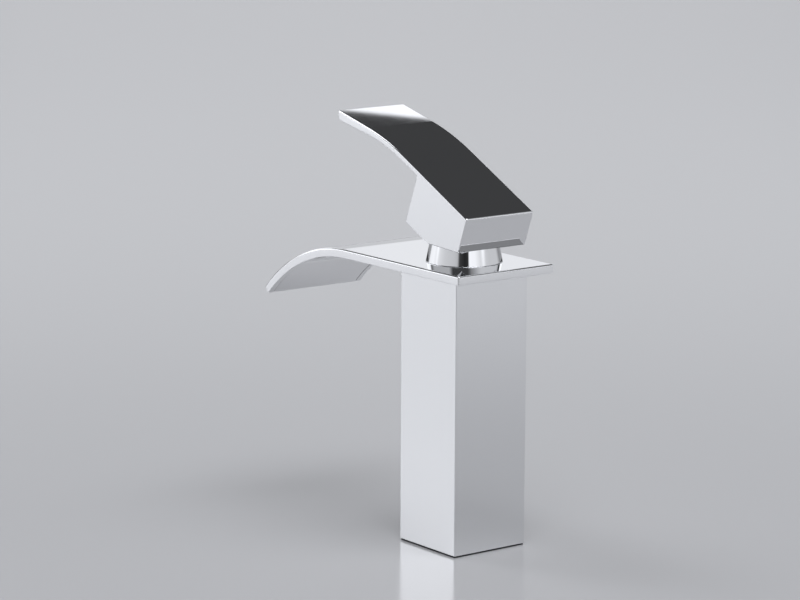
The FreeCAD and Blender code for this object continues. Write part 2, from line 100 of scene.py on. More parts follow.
# The handle: the hollow under its block, the boss in it and the stem's socket, heights above the spout
HANDLE_WALL = 2.8 * MM
HANDLE_TOP_EDGE = 1.0 * MM
HANDLE_EDGE = 0.5 * MM
HANDLE_CAVITY_FRONT = 13.0 * MM
BOSS_HALF_WIDTH = 7.5 * MM
BOSS_BACK = 7.0 * MM
BOSS_BOTTOM = 21.0 * MM
STEM_SOCKET = (4.05 * MM, 3.05 * MM)
STEM_SOCKET_TOP = 34.5 * MM

# The handle's side outline: distance behind the axis, height above the spout, corner radius, in millimetres
HANDLE_BACK_TOP = (31.5, 29.6, 0)
HANDLE_TOP_BEND = (-41.0, 65.4, 170.0)
HANDLE_TIP_TOP = (-86.8, 76.6, 0)
HANDLE_TIP_BOTTOM = (-86.0, 71.0, 2.5)
HANDLE_UNDER_BEND = (-44.1, 63.0, 130.0)
HANDLE_FRONT_TOP = (-12.85, 48.0, 2.0)
HANDLE_FRONT_BOTTOM = (-23.3, 21.2, 0)
HANDLE_BOTTOM_BEND = (-3.5, 11.5, 12.0)
HANDLE_BACK_BOTTOM = (24.3, 10.1, 0)

# The plug, and the grub screw's hole behind it
PLUG_UP_FRONT = 11.5 * MM
PLUG_RECESS_RADIUS = 3.5 * MM
PLUG_RECESS_DEPTH = 2.5 * MM
PLUG_CLEARANCE = 0.02 * MM
PLUG_EDGE = 0.35 * MM
GRUB_SCREW_RADIUS = 2.5 * MM

# The stud, the nut and the washers; the thread's crest and flank are shares of its pitch
STUD_Y = 12.0 * MM
THREAD_PITCH = 1.25 * MM
THREAD_DEPTH = 0.75 * MM
THREAD_CREST = 0.12
THREAD_FLANK = 0.38
THREAD_BORE = 3.5 * MM
STUD_POINT = 1.0 * MM
NUT_CHAMFER = math.radians(30)
WASHER_HOLE = 4.3 * MM
HOSE_WAY_RADIUS = 6.8 * MM
HOSE_WAY_HALF_SPACING = 7.8 * MM
INLET_Y = -4.0 * MM
STEEL_WASHER_EDGE = 0.3 * MM
RUBBER_WASHER_EDGE = 0.6 * MM

# How far a cutter runs past what it cuts, how close vertices are merged, and how far from a face a vertex
# may be and still count as on it
CUT_OVERRUN = 2.0 * MM
WELD = 0.001 * MM
FLAT = 0.01 * MM

# Sides of round shapes
ROUND_SIDES = 160
NUT_SIDES = 96
HOLE_SIDES = 64
STUD_SIDES = 48
DUCT_SIDES = 48

# Steps of an arc in degrees, and the radius under which an arc is a small one
ARC_STEP = 1.0
SPOUT_STEP = 0.75
SMALL_ARC_STEP = 8.0
SMALL_RADIUS = 1.5 * MM
FEWEST_STEPS = 6

# Degrees between two faces from which their edge is a sharp one, and up to which shading runs over it
SHARP_ANGLE = 20.0
SMOOTH_ANGLE = 40.0

# Share of a direction that has to go along an axis to be parallel to it, or upwards to count as facing up
PARALLEL = 0.999
FACING_UP = 0.6

# Floor
FLOOR_COLOUR = (0.58, 0.58, 0.59, 1.0)
FLOOR_GLOSS = 0.15
FLOOR_SIZE = (14.0, 14.0)
FLOOR_DROP = 0.05 * MM

# Studio: azimuths count from the viewer to the picture's right, elevations from the horizon, in degrees.
# SURROUND holds the low surround's level at each azimuth. It fades out upwards between the two SURROUND_TOP
# elevations, which lie SURROUND_LOWER_ON_RIGHT degrees lower on the right. SURROUND_RIGHT holds from and to
# which azimuth that goes, and how softly it begins and ends
SURROUND = (
    (-180, 0.60), (-173, 0.58), (-166, 0.10), (-158, 0.05), (-146, 0.05), (-136, 0.20), (-129, 0.95),
    (-110, 1.02), (-95, 0.89), (-79, 0.74), (-63, 0.64), (-31, 0.57), (-22, 0.50), (-16, 0.05),
    (0, 0.02), (11, 0.03), (14.5, 1.04), (33, 1.00), (49, 0.79), (65, 0.67), (81, 0.60),
    (117, 0.60), (127, 0.40), (136, 0.06), (156, 0.05), (166, 0.12), (173, 0.56), (180, 0.60))
SURROUND_TOP = (15.0, 17.0)
SURROUND_LOWER_ON_RIGHT = 3.9
SURROUND_RIGHT = (40.0, 125.0, 30.0, 10.0)
# Panels: azimuth, half width, softness of the sides, bottom, top, softness of bottom and of top, strength
PANELS = (
    # on the left, for the column's left face and the side of the handle
    (-112, 24, 6, 8.0, 20.0, 2.0, 1.5, 0.24),
    (-112, 24, 6, 14.0, 20.0, 1.5, 1.5, 1.40),
    (-106, 14, 6, 5.5, 8.5, 1.0, 1.0, 0.60),
    (-85, 40, 8, 22.0, 33.0, 2.0, 2.0, 0.40),
    # on the right, for the column's back face, the dome and the back of the handle's block
    (80, 22, 8, 9.0, 12.0, 1.0, 1.0, 0.65),
    (72, 55, 8, 19.0, 32.0, 1.5, 2.0, 0.55),
    (80, 12, 4, 17.5, 24.0, 1.0, 1.0, 1.00),
    (90, 30, 10, 34.0, 50.0, 3.0, 6.0, 0.20),
    # narrow strip far behind, for the line along the lever's far edge
    (159, 4, 1.5, 17.5, 26.0, 1.0, 1.0, 12.0),
    # two large soft lights, high behind on the left and high on the viewer's right
    (-138, 28, 8, 43.0, 68.0, 3.0, 3.0, 4.30),
    (30, 60, 10, 50.0, 82.0, 3.0, 3.0, 3.70),
)

# Light panel behind the faucet: two directions on its slanted upper edge, how soft that edge is, where its
# sides and its bottom fade in, its levels low down, in its dim band and above, and where these begin and end
BACK_EDGE = ((173.6, 28.66), (175.2, 28.96))
BACK_EDGE_SOFT = 0.0011
BACK_SIDES = (128.0, 140.0)
BACK_BOTTOM = (6.5, 9.5)
BACK_LEVELS = (0.86, 0.46, 1.15)
BACK_UPPER_START = (10.4, 13.0)
BAND_BOTTOM = (10.6, 12.5)
BAND_TOP = (20.0, 27.0)
BAND_SIDES = (165.0, 172.0)

# Dark upper part: its level and where it fades in, and the faint blue of all the light
DARK_CEILING = 0.05
DARK_CEILING_START = (14.0, 28.0)
SKY_TINT = (0.975, 0.99, 1.03)


# ---------------------------------------------------------------- modelling tools

def only(piece):
    """Make a piece the active and the only selected object."""
    bpy.ops.object.select_all(action="DESELECT")
    piece.select_set(True)
    bpy.context.view_layer.objects.active = piece


def placed(name):
    """Name the newest primitive and move its place and scale into its mesh."""
    piece = bpy.context.object
    only(piece)
    bpy.ops.object.transform_apply(location=True, rotation=True, scale=True)
    piece.name = name
    piece.data.name = name
    return piece


def cuboid(name, low, high):
    """Box between two corners."""
    bpy.ops.object.select_all(action="DESELECT")
    middle = [(a + b) / 2 for a, b in zip(low, high)]
    size = [b - a for a, b in zip(low, high)]
    bpy.ops.mesh.primitive_cube_add(size=1, location=middle, scale=size)
    return placed(name)


def bar(name, radius, low, high, place=(0, 0), sides=ROUND_SIDES):
    """Upright round bar."""
    bpy.ops.object.select_all(action="DESELECT")
    bpy.ops.mesh.primitive_cylinder_add(
        vertices=sides, radius=radius, depth=high - low, location=(*place, (low + high) / 2))
    return placed(name)


def slanted_bar(name, radius, start, end):
    """Round bar between two points."""
    bpy.ops.object.select_all(action="DESELECT")
    run = end - start
    bpy.ops.mesh.primitive_cylinder_add(
        vertices=HOLE_SIDES, radius=radius, depth=run.length, location=(start + end) / 2,
        rotation=run.to_track_quat("Z", "Y").to_euler())
    return placed(name)


def edit(piece, kind):
    """Go into edit mode on a piece, selecting by VERT, EDGE or FACE, with nothing selected."""
    only(piece)
    bpy.ops.object.mode_set(mode="EDIT")
    bpy.ops.mesh.select_mode(type=kind)
    bpy.ops.mesh.select_all(action="DESELECT")


def leave():
    """Go back to object mode."""
    bpy.ops.object.mode_set(mode="OBJECT")


def pick(piece, kind, test):
    """In edit mode, select the vertices, edges or faces that pass a test."""
    mesh = bmesh.from_edit_mesh(piece.data)
    for element in {"VERT": mesh.verts, "EDGE": mesh.edges, "FACE": mesh.faces}[kind]:
        element.select_set(bool(test(element)))
    mesh.select_flush_mode()
    bmesh.update_edit_mesh(piece.data)


def middle_of(edge):
    """Point halfway along an edge."""
    return (edge.verts[0].co + edge.verts[1].co) / 2


def runs_along(edge, axis):
    """True where an edge lies along the axis with that number."""
    return abs((edge.verts[1].co - edge.verts[0].co).normalized()[axis]) > PARALLEL


def is_sharp(edge):
    """True where the two faces at an edge meet at an angle."""
    return len(edge.link_faces) == 2 and edge.calc_face_angle(0.0) > math.radians(SHARP_ANGLE)


def push(move):
    """Extrude what is selected by a move."""
    bpy.ops.mesh.extrude_region_move(TRANSFORM_OT_translate={"value": move})


def swing(centre, axis, angle, step=ARC_STEP):
    """Spin what is selected by a right-handed angle; the operator itself counts the other way."""
    steps = max(FEWEST_STEPS, round(abs(math.degrees(angle)) / step))
    bpy.ops.mesh.spin(steps=steps, angle=-angle, center=centre, axis=axis)


def merge_doubles():
    """Merge vertices that lie in one place, and select all that is left."""
    bpy.ops.mesh.select_all(action="SELECT")
    bpy.ops.mesh.remove_doubles(threshold=WELD)
    bpy.ops.mesh.select_all(action="SELECT")


def lone_vertex(at):
    """New piece of one vertex, left in edit mode with the vertex selected."""
    bpy.ops.object.select_all(action="DESELECT")
    bpy.ops.mesh.primitive_plane_add(size=1)
    piece = bpy.context.object
    edit(piece, "VERT")
    bpy.ops.mesh.select_all(action="SELECT")
    bpy.ops.mesh.merge(type="CENTER")
    bpy.ops.transform.translate(value=at)
    return piece


def outline(name, corners, place, axis):
    """Flat face through (u, v, radius) corners, rounded by arcs that spin about axis.

    place turns u and v into a point."""
    stretches = []
    for index, (u, v, radius) in enumerate(corners):
        here = place(u, v)
        if radius == 0:
            stretches.append((here, None, 0, here))
            continue
        before = (place(*corners[index - 1][:2]) - here).normalized()
        after = (place(*corners[(index + 1) % len(corners)][:2]) - here).normalized()
        half_angle = before.angle(after) / 2
        reach = radius / math.tan(half_angle)
        centre = here + (before + after).normalized() * radius / math.sin(half_angle)
        turn = math.pi - 2 * half_angle
        if before.cross(after).dot(axis) > 0:
            turn = -turn
        stretches.append((here + before * reach, centre, turn, here + after * reach))
    here = stretches[0][0]
    lone_vertex(here)
    for start, centre, turn, end in stretches:
        if (start - here).length > WELD / 10:
            push(start - here)
        if centre is not None:
            small = (start - centre).length < SMALL_RADIUS
            swing(centre, axis, turn, SMALL_ARC_STEP if small else ARC_STEP)
        here = end
    push(stretches[0][0] - here)
    merge_doubles()
    bpy.ops.mesh.edge_face_add()
    leave()
    return placed(name)


def revolved(name, corners, sides=ROUND_SIDES):
    """Ring or bar spun from a closed section of (radius, height, corner radius) corners."""
    piece = outline(name, corners, along_y(0), Vector((0, 1, 0)))
    edit(piece, "FACE")
    bpy.ops.mesh.select_all(action="SELECT")
    bpy.ops.mesh.spin(steps=sides, angle=2 * math.pi, center=(0, 0, 0), axis=(0, 0, 1))
    merge_doubles()
    leave()
    edit(piece, "FACE")
    pick(piece, "FACE", lambda face: len(face.verts) > 4)
    bpy.ops.mesh.delete(type="FACE")
    leave()
    return piece


def drawn_across(name, corners, half):
    """Side outline of (y, z, corner radius) corners, drawn across from x = -half to half."""
    piece = outline(name, corners, along_x(-half), Vector((1, 0, 0)))
    edit(piece, "FACE")
    bpy.ops.mesh.select_all(action="SELECT")
    push((2 * half, 0, 0))
    leave()
    return piece


def moved(piece, move):
    """Move a piece's mesh, leaving the object where it is."""
    edit(piece, "VERT")
    bpy.ops.mesh.select_all(action="SELECT")
    bpy.ops.transform.translate(value=move)
    leave()
    return piece


def cut(piece, *cutters, operation="DIFFERENCE"):
    """Take the cutters away from a piece, or keep only what they share with it."""
    for cutter in cutters:
        only(piece)
        boolean = piece.modifiers.new("cut", "BOOLEAN")
        boolean.operation = operation
        boolean.solver = "EXACT"
        boolean.object = cutter
        bpy.ops.object.modifier_apply(modifier=boolean.name)
        bpy.data.objects.remove(cutter)
    return piece


def round_edges(piece, radius, test=is_sharp, segments=4):
    """Round the edges of a piece that pass a test."""
    edit(piece, "EDGE")
    pick(piece, "EDGE", test)
    bpy.ops.mesh.bevel(offset=radius, offset_type="OFFSET", segments=segments, affect="EDGES", profile=0.5)
    leave()


def polish(piece):
    """Point the faces outwards and smooth the shading, with flat faces flat up to their rounded edges."""
    edit(piece, "FACE")
    merge_doubles()
    bpy.ops.mesh.normals_make_consistent(inside=False)
    leave()
    only(piece)
    bpy.ops.object.shade_smooth_by_angle(angle=math.radians(SMOOTH_ANGLE))
    weighted = piece.modifiers.new("weighted", "WEIGHTED_NORMAL")
    weighted.weight = 100
    weighted.keep_sharp = True
    bpy.ops.object.modifier_apply(modifier=weighted.name)


def along_x(x):
    """Turns an outline's u and v into y and z, at one x."""
    return lambda u, v: Vector((x, u, v))


def along_y(y):
    """Turns an outline's u and v into x and z, at one y."""
    return lambda u, v: Vector((u, y, v))


def slot_of(node):
    """Material slot that the record gives a node."""
    return next(part["material_slot"] for part in frame["record"]["subparts"] if part["node"] == node)


def keep(piece, body, *nodes):
    """Give a finished piece its body, and the slot and finish of the nodes that it stands for."""
    polish(piece)
    slot = slot_of(nodes[0])
    piece.data.materials.clear()
    piece.data.materials.append(FINISHES[slot])
    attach(piece, body)
    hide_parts(*nodes)


# ---------------------------------------------------------------- finishes

class Wire:
    """A socket of a shader node that can be used in sums; each operation adds its Math node."""

    def __init__(self, sheet, socket):
        self.sheet, self.socket = sheet, socket

    def _math(self, operation, first, second):
        return self.sheet.node("ShaderNodeMath", {"operation": operation}, {0: first, 1: second})

    def __add__(self, other):
        return self._math("ADD", self, other)

    def __radd__(self, other):
        return self._math("ADD", other, self)

    def __sub__(self, other):
        return self._math("SUBTRACT", self, other)

    def __rsub__(self, other):
        return self._math("SUBTRACT", other, self)

    def __mul__(self, other):
        return self._math("MULTIPLY", self, other)

    def __rmul__(self, other):
        return self._math("MULTIPLY", other, self)

    def __truediv__(self, other):
        return self._math("DIVIDE", self, other)

    def __abs__(self):
        return self._math("ABSOLUTE", self, 0.0)


def set_stops(ramp, stops):
    """Fill a colour ramp with (position, colour) stops."""
    while len(ramp.elements) < len(stops):
        ramp.elements.new(1.0)
    for element, (position, colour) in zip(ramp.elements, stops):
        element.position = position
        element.color = colour


class Sheet:
    """The node tree of one finish or of the world."""

    def __init__(self, owner):
        owner.use_nodes = True
        self.tree = owner.node_tree
        self.tree.nodes.clear()

    def add(self, kind, settings=None, inputs=None):
        """New node: its settings first, then the values or links of its sockets."""
        made = self.tree.nodes.new(kind)
        for key, value in (settings or {}).items():
            if key == "stops":
                set_stops(made.color_ramp, value)
            else:
                setattr(made, key, value)
        for key, value in (inputs or {}).items():
            if isinstance(value, Wire):
                self.tree.links.new(value.socket, made.inputs[key])
            else:
                made.inputs[key].default_value = value
        return made

    def node(self, kind, settings=None, inputs=None, output=0):
        """The output socket of a new node."""
        return Wire(self, self.add(kind, settings, inputs).outputs[output])

    def place(self, scale=None):
        """Object coordinates in metres, scaled where a scale is given."""
        here = self.node("ShaderNodeTexCoord", output="Object")
        if scale is None:
            return here
        return self.node("ShaderNodeMapping", {"vector_type": "POINT"}, {"Vector": here, "Scale": scale})

    def noise(self, place, scale, detail=2.0, rough=0.5):
        """Cloudy pattern between 0 and 1, with scale waves to the metre."""
        return self.node("ShaderNodeTexNoise", {},
                         {"Vector": place, "Scale": scale, "Detail": detail, "Roughness": rough})

    def turned_rings(self, place, scale, distortion, detail_scale):
        """Fine rings round the upright axis, as a lathe tool leaves them."""
        return self.node("ShaderNodeTexWave", {"wave_type": "RINGS", "rings_direction": "Z"},
                         {"Vector": place, "Scale": scale, "Distortion": distortion, "Detail": 1.0,
                          "Detail Scale": detail_scale})

    def between(self, value, low, high, to_low=0.0, to_high=1.0):
        """value eased from the span low..high to the span to_low..to_high, and held outside it."""
        spans = {"Value": value, "From Min": low, "From Max": high, "To Min": to_low, "To Max": to_high}
        return self.node("ShaderNodeMapRange", {"interpolation_type": "SMOOTHSTEP", "clamp": True}, spans)

    def mix(self, amount, first, second):
        """Colour between two colours."""
        return self.node("ShaderNodeMix", {"data_type": "RGBA", "blend_type": "MIX"},
                         {0: amount, 6: first, 7: second}, output=2)

    def bump(self, height, distance, strength):
        """Normal that follows a height, distance metres deep."""
        return self.node("ShaderNodeBump", {}, {"Height": height, "Distance": distance, "Strength": strength})

    def surface(self, **sockets):
        """Principled surface to the output, its sockets named with underscores for spaces."""
        inputs = {name.replace("_", " "): value for name, value in sockets.items()}
        shader = self.node("ShaderNodeBsdfPrincipled", {}, inputs)
        self.add("ShaderNodeOutputMaterial", {}, {"Surface": shader})


def rgb(red, green, blue):
    """Opaque colour."""
    return (red, green, blue, 1.0)


def finish(name, draw):
    """New material drawn by a function on an empty sheet."""
    material = bpy.data.materials.new(name)
    draw(Sheet(material))
    return material


def draw_chrome(sheet):
    """Mirror plating: a faint polishing ripple, fine wiping marks, a light haze and a few dull spots."""
    place = sheet.place()
    ripple = sheet.noise(place, 38.0, 2.0)
    wiping = sheet.noise(sheet.place((260.0, 260.0, 24.0)), 1.0, 3.0, 0.6)
    haze = sheet.between(sheet.noise(place, 16.0, 4.0, 0.6), 0.52, 0.78)
    spots = sheet.between(sheet.noise(place, 210.0, 1.0), 0.70, 0.78)
    clean, hazed = rgb(0.90, 0.905, 0.915), rgb(0.86, 0.87, 0.89)
    tone = sheet.mix(haze * 0.5, clean, hazed)
    rough = 0.020 + sheet.between(wiping, 0.35, 0.75) * 0.004 + haze * 0.004 + spots * 0.006
    normal = sheet.bump(ripple, 0.000004, 0.35)
    sheet.surface(Base_Color=tone, Metallic=1.0, Roughness=rough, Normal=normal)


def draw_brass(sheet):
    """Turned brass: rings of tool marks round the axis and a duller, redder cast skin in patches."""
    place = sheet.place()
    rings = sheet.turned_rings(place, 900.0, 0.6, 60.0)
    patches = sheet.between(sheet.noise(place, 60.0, 4.0), 0.42, 0.66)
    bright, cast_skin = rgb(0.74, 0.57, 0.29), rgb(0.60, 0.42, 0.20)
    tone = sheet.mix(patches, bright, cast_skin)
    rough = 0.26 + patches * 0.14 + rings * 0.06
    sheet.surface(Base_Color=tone, Metallic=1.0, Roughness=rough, Normal=sheet.bump(rings, 0.00002, 0.5))


def draw_steel(sheet):
    """Turned stainless steel: fine rings round the axis and duller, warmer handling marks."""
    place = sheet.place()
    rings = sheet.turned_rings(place, 1400.0, 0.3, 90.0)
    marks = sheet.between(sheet.noise(sheet.place((90.0, 90.0, 500.0)), 1.0, 4.0), 0.45, 0.72)
    bright, handled = rgb(0.63, 0.63, 0.64), rgb(0.50, 0.49, 0.48)
    tone = sheet.mix(marks, bright, handled)
    rough = 0.22 + marks * 0.16 + rings * 0.05
    sheet.surface(Base_Color=tone, Metallic=1.0, Roughness=rough, Normal=sheet.bump(rings, 0.00002, 0.4))


def draw_rubber(sheet):
    """Moulded black rubber with a fine grain and a grey bloom."""
    place = sheet.place()
    grain = sheet.noise(place, 2600.0, 2.0)
    bloom = sheet.between(sheet.noise(place, 120.0, 3.0), 0.45, 0.75)
    black, grey = rgb(0.022, 0.022, 0.024), rgb(0.060, 0.060, 0.062)
    tone = sheet.mix(bloom * 0.6, black, grey)
    rough = 0.55 + grain * 0.2
    sheet.surface(Base_Color=tone, Roughness=rough, Normal=sheet.bump(grain, 0.00004, 0.6))


def draw_acetal(sheet):
    """Moulded white acetal with flow clouding and a fine eroded skin."""
    place = sheet.place()
    cloud = sheet.noise(place, 90.0, 4.0)
    skin = sheet.noise(place, 3200.0, 1.0)
    white, clouded = rgb(0.84, 0.84, 0.81), rgb(0.76, 0.76, 0.73)
    tone = sheet.mix(cloud, white, clouded)
    rough = 0.38 + skin * 0.14
    sheet.surface(Base_Color=tone, Roughness=rough, Normal=sheet.bump(skin, 0.00002, 0.4))


def draw_ceramic(sheet):
    """Lapped alumina ceramic, faintly speckled."""
    place = sheet.place()
    speck = sheet.between(sheet.noise(place, 1800.0, 2.0), 0.60, 0.72)
    ivory, speckled = rgb(0.90, 0.89, 0.86), rgb(0.70, 0.68, 0.64)
    tone = sheet.mix(speck * 0.5, ivory, speckled)
    sheet.surface(Base_Color=tone, Roughness=0.12 + speck * 0.2)


def draw_plug(sheet):
    """Smooth grey plastic with a slight moulding cloud."""
    place = sheet.place()
    cloud = sheet.noise(place, 300.0, 3.0)
    pale, deep = rgb(0.58, 0.59, 0.61), rgb(0.50, 0.51, 0.53)
    tone = sheet.mix(cloud, pale, deep)
    sheet.surface(Base_Color=tone, Roughness=0.16 + cloud * 0.1)


FINISHES = {
    "chrome": finish("mirror_chrome", draw_chrome),
    "brass": finish("turned_brass", draw_brass),
    "stainless": finish("turned_steel", draw_steel),
    "rubber": finish("black_rubber", draw_rubber),
    "cartridge_plastic": finish("white_acetal", draw_acetal),
    "ceramic": finish("lapped_ceramic", draw_ceramic),
    "plug_plastic": finish("grey_plastic", draw_plug),
}


# ---------------------------------------------------------------- pieces

def column_shell():
    """Square tube with rounded upright edges, open at both ends."""
    low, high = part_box("column_shell")
    piece = cuboid("column", low, high)
    edit(piece, "FACE")
    pick(piece, "FACE", lambda face: abs(face.normal.z) > PARALLEL)
    bpy.ops.mesh.inset(thickness=COLUMN_WALL)
    bpy.ops.mesh.bridge_edge_loops()
    leave()
    outside = high[0] - COLUMN_WALL / 2
    round_edges(piece, COLUMN_EDGE,
                lambda edge: runs_along(edge, 2) and abs(middle_of(edge).x) > outside, segments=6)
    round_edges(piece, RIM_EDGE, lambda edge: is_sharp(edge) and not runs_along(edge, 2), segments=2)
    keep(piece, "faucet_body", "column_shell")


def swept_spout(name, section, back, top, overrun=0.0):
    """Section outline at y = back, drawn forward, swept round the spout's curve and past its lip."""
    piece = outline(name, section, along_y(back), Vector((0, 1, 0)))
    edit(piece, "FACE")
    bpy.ops.mesh.select_all(action="SELECT")
    push((0, -SPOUT_STRAIGHT - back, 0))
    swing((0, -SPOUT_STRAIGHT, top - SPOUT_CURVE), (1, 0, 0), SPOUT_TURN, SPOUT_STEP)
    if overrun:
        push((0, -math.cos(SPOUT_TURN) * overrun, -math.sin(SPOUT_TURN) * overrun))
    leave()
    return piece


def is_top_edge(edge, top):
    """True on the edges round the spout's upper face, but not at the lip, and on its upright back corners."""
    if runs_along(edge, 2) and middle_of(edge).y > 0:
        return True
    for vert in edge.verts:
        y, z = vert.co.y + SPOUT_STRAIGHT, vert.co.z - top
        if y < 0:
            z = math.hypot(y, z + SPOUT_CURVE) - SPOUT_CURVE
        if abs(z) > FLAT:
            return False
    return is_sharp(edge) and (not runs_along(edge, 0) or middle_of(edge).y > 0)


def is_below_top_edge(edge, top):
    """True on edges that lie wholly under the rounding of the spout's upper edge."""
    return not (middle_of(edge).y > 0 and middle_of(edge).z > top - SPOUT_TOP_EDGE
                and not runs_along(edge, 0) and not runs_along(edge, 2))


def bottom_seat(top):
    """Height of the bottom plate's upper face on the straight stretch."""
    return top - SPOUT_ROOF - WATER_GAP


def spout_shell():
    """Top plate and spout in one: a swept slab with the flow channel cut from below and out of the lip."""
    half, back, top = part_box("spout_shell")[1]
    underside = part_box("column_shell")[1][2]
    slab = swept_spout("spout", [
        (-half, underside, 0), (half, underside, 0), (half, top, 0), (-half, top, 0)], back, top)
    round_edges(slab, SPOUT_TOP_EDGE, lambda edge: is_top_edge(edge, top), segments=5)
    round_edges(slab, SPOUT_EDGE, lambda edge: is_sharp(edge) and is_below_top_edge(edge, top), segments=3)
    seat, roof, under = bottom_seat(top), top - SPOUT_ROOF, underside - CUT_OVERRUN
    wide, narrow = half - SPOUT_RIM, half - SPOUT_RIM - PLATE_LEDGE
    channel = swept_spout("channel", [
        (-wide, under, 0), (wide, under, 0), (wide, seat, 0), (narrow, seat, 0),
        (narrow, roof, 0), (-narrow, roof, 0), (-narrow, seat, 0), (-wide, seat, 0),
    ], CHANNEL_BACK, top, CUT_OVERRUN)
    ring = bar("ring", CHANNEL_RING, under - CUT_OVERRUN, top + CUT_OVERRUN)
    hole = bar("hole", SPOUT_HOLE, under - CUT_OVERRUN, top + CUT_OVERRUN)
    cut(slab, cut(channel, ring), hole)
    keep(slab, "faucet_body", "spout_shell")


def spout_bottom_plate():
    """Curved plate that closes the flow channel from below, with a hair of seam to the rims."""
    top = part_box("spout_shell")[1][2]
    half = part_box("spout_bottom_plate")[1][0] - SEAM
    underside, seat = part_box("column_shell")[1][2], bottom_seat(top)
    plate = swept_spout("spout_underplate", [
        (-half, underside, 0), (half, underside, 0), (half, seat, 0), (-half, seat, 0)], CHANNEL_BACK, top)
    round_edges(plate, SEAM, segments=2)
    under = underside - CUT_OVERRUN
    cutters = [bar("ring", CHANNEL_RING, under, top)]
    cutters += [bar("duct", DUCT_RADIUS, under, top, place, DUCT_SIDES) for place in DUCT_PLACES]
    cut(plate, *cutters)
    keep(plate, "faucet_body", "spout_bottom_plate")


def dome_cover():
    """Cone-shaped cover spun from its wall's section."""
    low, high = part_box("dome_cover")
    foot, bottom, top = high[0], low[2], high[2]
    lean = math.tan(DOME_SLANT)
    wall = DOME_WALL / math.cos(DOME_SLANT)
    shoulder = foot - (top - bottom) * lean
    inner_shoulder = foot - (top - DOME_WALL - bottom) * lean - wall
    cover = revolved("dome", [
        (foot, bottom, DOME_FOOT_EDGE),
        (shoulder, top, DOME_EDGE),
        (DOME_OPENING, top, DOME_EDGE / 2),
        (DOME_OPENING, top - DOME_WALL, DOME_INNER_EDGE),
        (inner_shoulder, top - DOME_WALL, 0),
        (foot - wall, bottom, DOME_INNER_EDGE),
    ])
    keep(cover, "faucet_body", "dome_cover")


def handle_corner(y, height, radius):
    """A corner of the handle's side outline in metres, its height counted from the origin."""
    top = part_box("spout_shell")[1][2]
    return y * MM, top + height * MM, radius * MM


def handle_outline():
    """The handle's side outline: along the lever to its tip, back underneath it and round the block."""
    return [handle_corner(*corner) for corner in (
        HANDLE_BACK_TOP, HANDLE_TOP_BEND, HANDLE_TIP_TOP, HANDLE_TIP_BOTTOM, HANDLE_UNDER_BEND,
        HANDLE_FRONT_TOP, HANDLE_FRONT_BOTTOM, HANDLE_BOTTOM_BEND, HANDLE_BACK_BOTTOM)]


def shifted(start, end, distance):
    """A point and the direction of the line from start to end, moved to its left."""
    along = Vector((end[0] - start[0], end[1] - start[1])).normalized()
    return Vector(start[:2]) + Vector((-along.y, along.x)) * distance, along


def level_on(line, y):
    """Height of a line at y."""
    point, along = line
    return point.y + (y - point.x) * along.y / along.x


def handle_cavity():
    """Space inside the block for the dome and the neck, parallel to its back and top."""
    back_top, top_bend, back_bottom = (
        handle_corner(*corner) for corner in (HANDLE_BACK_TOP, HANDLE_TOP_BEND, HANDLE_BACK_BOTTOM))
    ceiling = shifted(top_bend, back_top, -HANDLE_WALL)
    back = shifted(back_top, back_bottom, -HANDLE_WALL)
    low = back_bottom[1] - CUT_OVERRUN
    back_y = back[0].x + (low - back[0].y) * back[1].x / back[1].y
    gap = back[0] - ceiling[0]
    step = gap.cross(back[1]) / ceiling[1].cross(back[1])
    corner = ceiling[0] + ceiling[1] * step
    front = -HANDLE_CAVITY_FRONT
    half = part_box("handle_lever")[1][0] - HANDLE_WALL
    outer = [(front, low, 0), (front, level_on(ceiling, front), 0), (corner.x, corner.y, 0), (back_y, low, 0)]
    return drawn_across("cavity", outer, half)


def is_handle_top_edge(edge):
    """True on the edges round the lever's upper face, apart from the one at its tip."""
    facing_up = any(face.normal.z > FACING_UP for face in edge.link_faces)
    at_tip = runs_along(edge, 0) and middle_of(edge).y < HANDLE_UNDER_BEND[0] * MM
    return is_sharp(edge) and facing_up and not at_tip


def handle_cutters():
    """Cavity with the boss left standing in it, the stem's socket, the plug's recess and the screw's hole."""
    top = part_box("spout_shell")[1][2]
    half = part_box("handle_lever")[1][0]
    low = handle_corner(*HANDLE_BACK_BOTTOM)[1] - CUT_OVERRUN
    boss = cuboid("boss", (-BOSS_HALF_WIDTH, -half, top + BOSS_BOTTOM),
                  (BOSS_HALF_WIDTH, BOSS_BACK, top + 2 * half))
    socket_x, socket_y = STEM_SOCKET
    socket = cuboid("socket", (-socket_x, -socket_y, low), (socket_x, socket_y, top + STEM_SOCKET_TOP))
    mouth, inward = plug_seat()
    recess = slanted_bar("recess", PLUG_RECESS_RADIUS, mouth - inward * CUT_OVERRUN,
                         mouth + inward * PLUG_RECESS_DEPTH)
    hole = slanted_bar("hole", GRUB_SCREW_RADIUS, mouth, mouth - inward * (mouth.y / inward.y))
    return cut(handle_cavity(), boss), socket, recess, hole


def handle_lever():
    """Hollow block and lever in one: side outline drawn across, edges rounded, hollowed from below."""
    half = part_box("handle_lever")[1][0]
    piece = drawn_across("handle", handle_outline(), half)
    round_edges(piece, HANDLE_TOP_EDGE, is_handle_top_edge, segments=5)
    round_edges(piece, HANDLE_EDGE, segments=4)
    cut(piece, *handle_cutters())
    keep(piece, "lever", "handle_lever")


def plug_seat():
    """Middle of the plug's recess on the block's front face, and the way in from there."""
    front_top, front_bottom = (
        Vector((0, *handle_corner(*corner)[:2])) for corner in (HANDLE_FRONT_TOP, HANDLE_FRONT_BOTTOM))
    up = (front_top - front_bottom).normalized()
    return front_bottom + up * PLUG_UP_FRONT, up.cross(Vector((1, 0, 0)))


